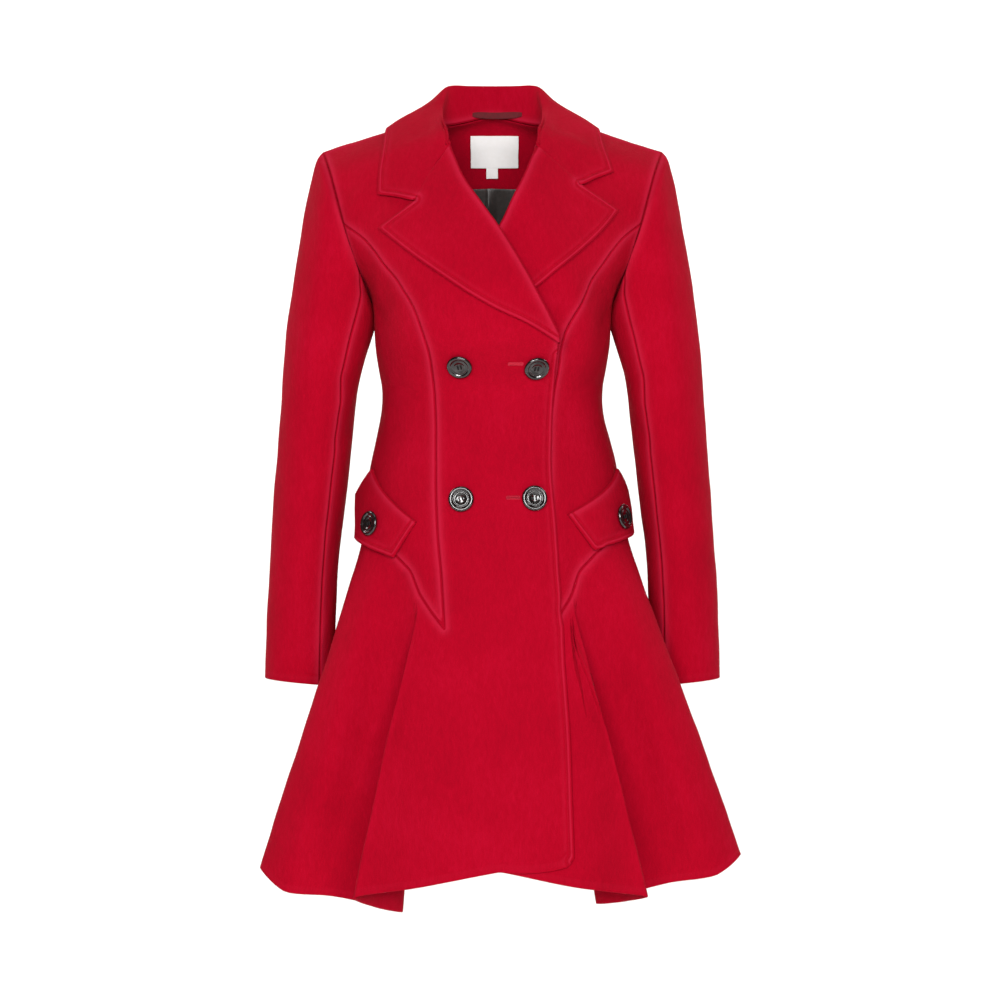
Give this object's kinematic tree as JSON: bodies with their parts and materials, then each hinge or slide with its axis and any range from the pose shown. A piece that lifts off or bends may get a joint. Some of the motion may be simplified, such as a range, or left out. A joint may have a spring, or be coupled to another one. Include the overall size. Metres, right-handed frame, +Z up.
{
  "type": "double-breasted coat, hollow, in worn shape",
  "caption": "Short double-breasted wool coat with notched lapels, princess seams, flared skirt and pointed pocket flaps, worn shape and hollow.",
  "frame": {"origin": "between the shoulders at the height of the neck points, where the wearer's shoulders carry the coat", "axes": "+X to the wearer's left, -Y out of the coat's front, +Z up"},
  "size_m": [0.5409, 0.4355, 0.9397],
  "materials": {
    "red_wool": "felted wool coating with a soft nap",
    "dark_lining": "satin lining",
    "black_tape": "woven tape",
    "white_label": "woven label, blank",
    "dark_button": "polished, like dark horn"
  },
  "bodies": {
    "root": {"front_right": "red_wool", "front_left": "red_wool", "side_front_right": "red_wool", "side_front_left": "red_wool", "back_right": "red_wool", "back_left": "red_wool", "side_back_right": "red_wool", "side_back_left": "red_wool", "under_sleeve_right": "red_wool", "under_sleeve_left": "red_wool", "top_sleeve_right": "red_wool", "top_sleeve_left": "red_wool", "lapel_right": "red_wool", "lapel_left": "red_wool", "collar": "red_wool", "neck_facing": "red_wool", "pocket_flap_right": "red_wool", "pocket_flap_left": "red_wool", "lining": "dark_lining", "hanger_loop": "black_tape", "label": "white_label", "size_tab": "white_label", "button_upper_right": "dark_button", "button_upper_left": "dark_button", "button_lower_right": "dark_button", "button_lower_left": "dark_button", "button_flap_right": "dark_button", "button_flap_left": "dark_button"}
  },
  "joints": []
}
